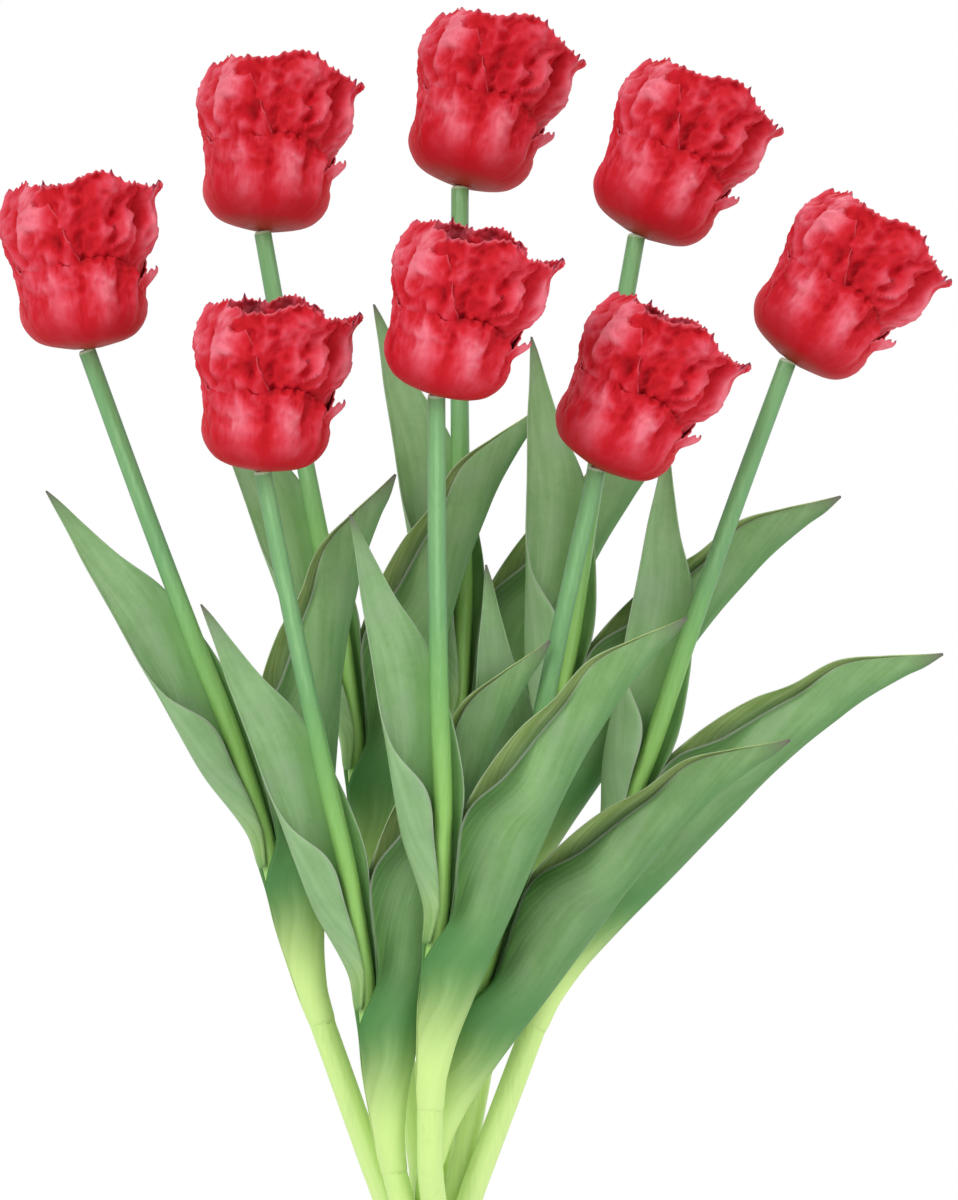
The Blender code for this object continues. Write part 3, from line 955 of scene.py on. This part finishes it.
foldedPetal = dict(
    plainPetal,
    centre=210,
    half=innerHalf,
    lean=(1.0, 3.5),
    out=(0.4, 1.1),
    rough=((-1, 1), (0.3, 1.1), (1, 1.7)),
    fringe=0.8,
    cup=(*innerStart, (32, 24.0), (37, 25.6), (43, 26.2), (49, 25.4), (55, 22.8), (60, 19.6), (66, 16)),
    rim=(
        (-1, 44), (-0.8, 54), (-0.5, 58), (-0.2, 60), (0.03, 62.4), (0.2, 61), (0.35, 61),
        (0.46, 58.5), (0.56, 53), (0.66, 46.5), (0.76, 40), (0.88, 32), (1, 25),
    ),
    bumps=(
        (0.34, 50, 0.2, 8, 2.4), (0.16, 40, 0.14, 8, 1.5), (0.1, 52, 0.05, 9, -0.8),
        (-0.2, 46, 0.24, 12, 1.5), (0.62, 43, 0.06, 7, -1.6), (0.55, 38, 0.1, 5, 1.4),
        (-0.45, 50, 0.07, 9, -1.8),
    ),
)
outerPetals = dict(base=1.34, ruffle=0.4, petals=(frontPetal, rightPetal, leftPetal))
innerPetals = dict(base=2.62, ruffle=1.0, petals=(crumpledPetal, backPetal, foldedPetal))


def crumple(angle, height):
    # one field for all petals, so that nested ones crease together
    reach = petals["crumpleRound"]
    place = Vector((cos(angle) * reach, sin(angle) * reach, height / petals["crumpleUp"]))
    swell = petals["crumple"] * 2 * noise.noise(place)
    for kind in ("crease", "wrinkle"):
        scale, shift = petals[f"{kind}Place"]
        swell += petals[kind] * (0.5 - 2 * abs(noise.noise(place * scale + Vector(shift))))
    return step(*petals["crumpleHeight"], height) * swell


def tooth(petal, u):
    # saw-like fringe with teeth of uneven length
    shift, stretch, spread, depth = petals["toothShift"]
    seat = (u + petals["toothStart"]) * petals["teeth"] / 2
    seat += shift * noise.noise(Vector((u * stretch, petal["centre"] * spread, depth)))
    least, growth, stretch, spread, depth = petals["toothSize"]
    size = least + growth * abs(noise.noise(Vector((int(seat) * stretch, petal["centre"] * spread, depth))))
    return size * max(0, 1 - abs(seat - int(seat) - 0.5) / petals["toothWidth"])


def outerRimAt(angle):
    # height of the outer whorl's rim at an angle round the head
    best = 0.0
    for petal in outerPetals["petals"]:
        turn = (angle * 180 / pi - petal["centre"] + 180) % 360 - 180
        half = petal["half"][-1][1]
        if abs(turn) < half:
            best = max(best, smoothValue(petal["rim"], turn / half))
    return best


def ruffle(petal, u, height, toSide, toRim):
    # waves along the sides and the rim
    long, across = petals["edgeWave"]
    wave = noise.noise(Vector((height / long, petal["centre"], u * across)))
    across, spread, long = petals["topWave"]
    ripple = noise.noise(Vector((u * across, petal["centre"] * spread, height / long)))
    edge = exp(-toSide / petals["edgeReach"]) * step(*petals["edgeHeight"], height)
    top = exp(-toRim / petals["topReach"])
    return petals["ruffle"] * (petals["edgeRuffle"] * wave * edge + petals["topRuffle"] * ripple * top)


def petalPoint(whorl, petal, u, t):
    # u runs from -1 to 1 across the petal, t from 0 at its base to 1 at its rim
    base, rimHeight, fringe = whorl["base"], smoothValue(petal["rim"], u), petal["fringe"]
    lift = (rimHeight - base) * t
    height, toRim = base + lift, (rimHeight - base) * (1 - t)
    opened = step(*petals["opening"], t)
    half = smoothValue(petal["half"], lift)
    angle = radians(petal["centre"] + u * half)
    radius = smoothValue(petal["cup"], lift)
    roughness = 1 + (smoothValue(petal["rough"], u) - 1) * step(*petals["roughHeight"], height)
    swell = crumple(angle, height) * roughness
    for place, level, reach, rise, size in petal["bumps"]:
        swell += size * exp(-(((u - place) / reach) ** 2) - ((height - level) / rise) ** 2)
    toSide = (1 - abs(u)) * radians(half) * radius
    waves = whorl["ruffle"] * ruffle(petal, u, height, toSide, toRim)
    tip = tooth(petal, u) * t ** petals["tipPower"] * step(*petals["tipMargin"], 1 - abs(u)) * fringe
    stretch, shift = petals["sideTeeth"]
    sideTip = tooth(petal, height / stretch - shift) * exp(-toSide / petals["sideReach"]) * fringe
    sideTip *= step(*petals["sideHeight"], height)
    angle += (1 if u > 0 else -1) * sideTip * petals["sideLength"]
    first, last = petal["out"]
    total = radius + opened * (swell + waves + (first + last) / 2 + (last - first) / 2 * u)
    sideMargin = exp(-toSide / petals["marginReach"]) * step(*petals["marginHeight"], height)
    margin = max(exp(-toRim / petals["marginReach"]), sideMargin) * opened * fringe
    # painted shade below the rim; inner petals also get painted shadow just above the outer petals' rim
    shade = petal["shade"] * exp(-toRim / petal["shadeReach"])
    if whorl is innerPetals:
        shade += exp(-max(height - outerRimAt(angle), 0) / petals["innerShadeReach"])
    leaning = step(*petals["leanHeight"], height) * (1 - u * u)
    point = Vector((
        total * cos(angle) + petal["lean"][0] * leaning,
        total * sin(angle) + petal["lean"][1] * leaning,
        height + tip * petals["toothLength"],
    ))
    # painted highlight where the petal swells and painted shade where it sinks
    bulge = (swell + petals["bulgeShadingWaves"] * waves) / petals["bulgeShadingScale"]
    bulge /= max(roughness, 1) ** petals["bulgeShadingPower"]
    tipTone = max(tip, sideTip * petals["sideTipTone"])
    return point, (bulge, margin, tipTone, shade, point.z / petals["riseScale"])


def whorlMesh(name, whorl):
    meshes = []
    wide, high = petals["uvScale"]
    for petal in whorl["petals"]:
        rows, uvs = [], []
        values = {key: [] for key in petalMarks}
        for row in range(petals["rows"] + 1):
            t = 1 - (1 - row / petals["rows"]) ** petals["rowPower"]
            line = []
            for column in range(petals["columns"] + 1):
                u = 2 * column / petals["columns"] - 1
                point, marks = petalPoint(whorl, petal, u, t)
                line.append(point)
                for key, mark in zip(values, marks):
                    values[key].append(mark)
                uvs.append((u * wide, point.z * high))
            rows.append(line)
        meshes.append(gridMesh(name, rows, values, uvs))
    floor = [ring(radius, whorl["base"], 360 // petals["floorStep"]) for radius in petals["floorRadii"]]
    count = len(floor) * len(floor[0])
    flat = {key: [0.0] * count for key in petalMarks}
    meshes.append(gridMesh(name, floor, flat, [(0, 0)] * count, closed=True))
    return joinMeshes(name, meshes)


def joinMeshes(name, meshes):
    items = [addObject(f"{name}Part{index}", mesh) for index, mesh in enumerate(meshes)]
    with bpy.context.temp_override(active_object=items[0], selected_editable_objects=items):
        bpy.ops.object.join()
    joined = items[0].data
    bpy.data.objects.remove(items[0])
    joined.name = name
    return joined


def makePetals():
    for kind, whorl in (("outer", outerPetals), ("inner", innerPetals)):
        shared = whorlMesh(f"{kind}Whorl", whorl)
        for name, tulip in tulips.items():
            mesh = shared.copy()
            mesh.name = f"{kind}Petals_{name}"
            mesh.transform(Matrix.Translation(tulip["neck"] * mm) @ tulip["headTurn"].to_4x4())
            addPiece(mesh, f"petals_{name}", "petal_red", f"{kind}_petals_{name}", petals["wall"])


makePetals()
print("petals opened")

centre = dict(
    flange=3.32,
    sides=30,
    dip=0.5,
    # depth below the neck and radius of the peg
    peg=((16, 0), (16, 0.8), (15.6, 1.2), (12, 1.2), (8, 1.2), (4, 1.2), (0, 1.2)),
    # height above the flange, radius, and how three-sided the pistil is there
    profile=(
        (0, 1.2, 0), (0.2, 3.4, 0), (0.7, 3.9, 0), (2.2, 4.1, 0), (3.4, 3.8, 0.02), (4.8, 2.7, 0.06),
        (7, 2.3, 0.1), (13, 2.1, 0.12), (18, 2.0, 0.12), (20, 2.5, 0.2), (21.6, 3.7, 0.3),
        (22.8, 3.9, 0.34), (23.8, 3.2, 0.3), (24.3, 1.4, 0.1),
    ),
    # foot is above the flange
    stamens=dict(Ring=3.0, Foot=2.5, Length=13.0, Thickness=0.55, AntherLength=7.0, AntherWidth=1.5),
    stamenCount=6,
    stamenLean=0.28,
    stamenSeed=4,
    leanSpread=(0.7, 1.3),
    filamentSides=8,
    antherSides=12,
    antherRings=8,
    antherFlatness=0.7,
    antherMiddle=0.42,
)


def stamenGraph():
    graph = Graph("stamenRing", (*centre["stamens"], "Lean"), ("Count", "Seed"))
    given, shape = graph.given, graph.shape

    def marked(geometry, value):
        inputs = {"Geometry": geometry, "Name": "anther", "Value": value}
        return shape("StoreNamedAttribute", inputs, data_type="FLOAT")

    line = shape("CurvePrimitiveLine", {"Start": (0, 0, 0), "End": graph.vector(z=given("Length"))})
    outline = {"Resolution": centre["filamentSides"], "Radius": given("Thickness")}
    circle = shape("CurvePrimitiveCircle", outline)
    filament = shape("CurveToMesh", {"Curve": line, "Profile Curve": circle, "Fill Caps": True})
    sphere = {"Segments": centre["antherSides"], "Rings": centre["antherRings"], "Radius": 0.5}
    middle = graph.vector(z=given("Length") + given("AntherLength") * centre["antherMiddle"])
    width = given("AntherWidth")
    size = graph.vector(width, width * centre["antherFlatness"], given("AntherLength"))
    fitted = {"Geometry": shape("MeshUVSphere", sphere), "Translation": middle, "Scale": size}
    anther = shape("Transform", fitted)
    stamen = shape("JoinGeometry", {"Geometry": [marked(filament, 0.0), marked(anther, 1.0)]})
    seats = shape("MeshCircle", {"Vertices": given("Count"), "Radius": given("Ring")})
    seats = graph.moved(seats, graph.vector(z=given("Foot")))
    # each stamen leans away from the pistil, by chance more or less
    least, most = centre["leanSpread"]
    spread = {"Min": least, "Max": most, "Seed": given("Seed")}
    chance = graph.add("FunctionNodeRandomValue", spread, "Value", data_type="FLOAT")
    x, y = graph.position("X"), graph.position("Y")
    reach = given("Lean") * chance / given("Ring")
    outward = {"Vector": graph.vector(x * reach, y * reach, 1.0)}
    turn = graph.add("FunctionNodeAlignRotationToVector", outward, axis="Z")
    placed = shape("InstanceOnPoints", {"Points": seats, "Instance": stamen, "Rotation": turn})
    graph.end(shape("JoinGeometry", {"Geometry": [given("Geometry"), placed]}))
    return graph


def centreMesh():
    # peg, receptacle and three-sided pistil as one turned form, in the head's own frame
    rows = [ring(radius, -depth, centre["sides"]) for depth, radius in centre["peg"]]
    flange = centre["flange"]
    for height, radius, lobes in centre["profile"]:
        line = ring(radius, flange + height, centre["sides"])
        for index, point in enumerate(line):
            swell = 1 + lobes * cos(3 * 2 * pi * index / centre["sides"])
            line[index] = Vector((point.x * swell, point.y * swell, point.z))
        rows.append(line)
    rows.append(ring(0, flange + height - centre["dip"], centre["sides"]))
    count = len(rows) * len(rows[0])
    mesh = gridMesh("pistil", rows, {"anther": [0.0] * count}, [(0, 0)] * count, closed=True)
    lengths = {key: value * mm for key, value in centre["stamens"].items()}
    lengths["Foot"] += flange * mm
    chances = dict(Count=centre["stamenCount"], Lean=centre["stamenLean"], Seed=centre["stamenSeed"])
    grown = stamenGraph().grow("flowerCentre", mesh, Paint=paints["centre_yellow"], **lengths, **chances)
    setMark(grown, "height", [vertex.co.z / mm for vertex in grown.vertices])
    return grown


def makeCentres():
    shared = centreMesh()
    for name, tulip in tulips.items():
        mesh = shared.copy()
        mesh.name = f"flowerCentre_{name}"
        for vertex in mesh.vertices:
            # the peg below the neck follows the stem, all above it the tilted head
            x, y, z = vertex.co
            above = tulip["headTurn"] @ Vector((x, y, max(z, 0)))
            vertex.co = tulip["neck"] * mm + above + tulip["stemAxis"] * min(z, 0)
        mesh.update()
        addPiece(mesh, f"centre_{name}", "centre_yellow", f"flower_centre_{name}")


makeCentres()
print("flower centres set")

# the wires keep their CAD meshes
steel = steelPaint()
for name in bunch["names"]:
    slots = frame["nodes"][f"stem_wire_{name}"].data.materials
    slots.clear()
    slots.append(steel)
print("wires painted")

strap = dict(
    foot=34.0,
    inside=4.9,  # from the middle of a stem to the inside of the strap
    band=dict(Width=8.0, Thickness=1.2, Round=0.45, RibDepth=0.13),
    ribs=5.0,
    pathPoints=192,
    profilePoints=96,
    cornerSteps=6,
)


def strapGraph():
    graph = Graph("strapBand", (*strap["band"], "Ribs"), ("ProfilePoints",))
    given, shape = graph.given, graph.shape
    level = shape("SetCurveNormal", {"Curve": graph.path()}, "Curve", mode="Z_UP")
    box = shape("CurvePrimitiveQuadrilateral", {"Width": given("Thickness"), "Height": given("Width")})
    corners = {"Curve": box, "Radius": given("Round"), "Count": strap["cornerSteps"]}
    rounded = shape("FilletCurve", corners, mode="POLY")
    even = shape("ResampleCurve", {"Curve": rounded, "Count": given("ProfilePoints")})
    # shallow ribs along the inside and the outside
    x, y = graph.position("X"), graph.position("Y")
    wave = graph.cosine(y / given("Width") * given("Ribs") * (2 * pi))
    depth = x.math("SIGN", x) * given("RibDepth") * (wave - 1.0)
    ribbed = graph.moved(even, graph.vector(depth))
    graph.end(shape("CurveToMesh", {"Curve": level, "Profile Curve": ribbed}))
    return graph


def makeStrap():
    centres = [tulip["foot"] for tulip in tulips.values()]
    width, thickness = strap["band"]["Width"], strap["band"]["Thickness"]
    points = []
    for facing in ring(1, 0, strap["pathPoints"]):
        outermost = max(centres, key=facing.dot)
        point = outermost + facing * (strap["inside"] + thickness / 2)
        points.append(point + Vector((0, 0, strap["foot"] + width / 2)))
    lengths = {key: value * mm for key, value in strap["band"].items()}
    numbers = dict(Ribs=strap["ribs"], ProfilePoints=strap["profilePoints"], Paint=paints["strap_green"])
    grown = strapGraph().grow("stemStrap", pathMesh("strapPath", points, closed=True), **lengths, **numbers)
    addPiece(grown, "strap", "strap_green", "stem_strap")


makeStrap()
print("strap tied")

# lengths in metres
studio = dict(
    centre=(0.0184, 0.0, 0.288),
    frameHeight=0.432,
    distance=10.8,
    sensor=36,
    farthest=100,
    floorRadius=3.0,
    floorSides=96,
    floorDrop=0.0004,
    ambient=0.74,
    lamps=(
        # place, size, power
        ((-1.6, -2.4, 2.2), 1.4, 45),
        ((1.9, -2.0, 0.9), 1.8, 18),
        ((0.3, 1.8, 2.2), 1.6, 24),
    ),
)


def makeSky():
    # white to the camera and in mirrors, softer where it lights the piece
    world = bpy.data.worlds.new("studio")
    bpy.context.scene.world = world
    sky = Paint(world)
    rays = ("Is Camera Ray", "Is Glossy Ray", "Is Transmission Ray")
    camera, mirror, through = (sky.add("ShaderNodeLightPath", {}, ray) for ray in rays)
    strength = (camera + mirror + through).clamped() * (1 - studio["ambient"]) + studio["ambient"]
    white = sky.add("ShaderNodeBackground", {"Color": (1, 1, 1, 1), "Strength": strength})
    sky.end(white, "ShaderNodeOutputWorld")


def makeStudio():
    bpy.ops.mesh.primitive_circle_add(
        vertices=studio["floorSides"], radius=studio["floorRadius"], fill_type="NGON", location=(0, 0, 0)
    )
    floor = bpy.context.object
    floor.name = "floor"
    floor.location.z = -studio["floorDrop"]
    floor.data.materials.append(floorPaint())
    middle = Vector(studio["centre"])
    for index, (place, size, power) in enumerate(studio["lamps"]):
        lamp = addObject(f"lamp{index}", bpy.data.lights.new(f"lamp{index}", "AREA"), place)
        lamp.data.shape, lamp.data.size, lamp.data.energy = "DISK", size, power
        lamp.rotation_euler = (middle - lamp.location).to_track_quat("-Z", "Y").to_euler()
    camera = addObject("camera", bpy.data.cameras.new("camera"), middle - Vector((0, studio["distance"], 0)))
    camera.data.sensor_width = studio["sensor"]
    camera.data.lens = studio["sensor"] * studio["distance"] / studio["frameHeight"]
    camera.data.clip_end = studio["farthest"]
    camera.rotation_euler = (pi / 2, 0, 0)
    scene = bpy.context.scene
    scene.camera = camera
    scene.view_settings.view_transform = "Standard"
    makeSky()


makeStudio()
print("studio lit")
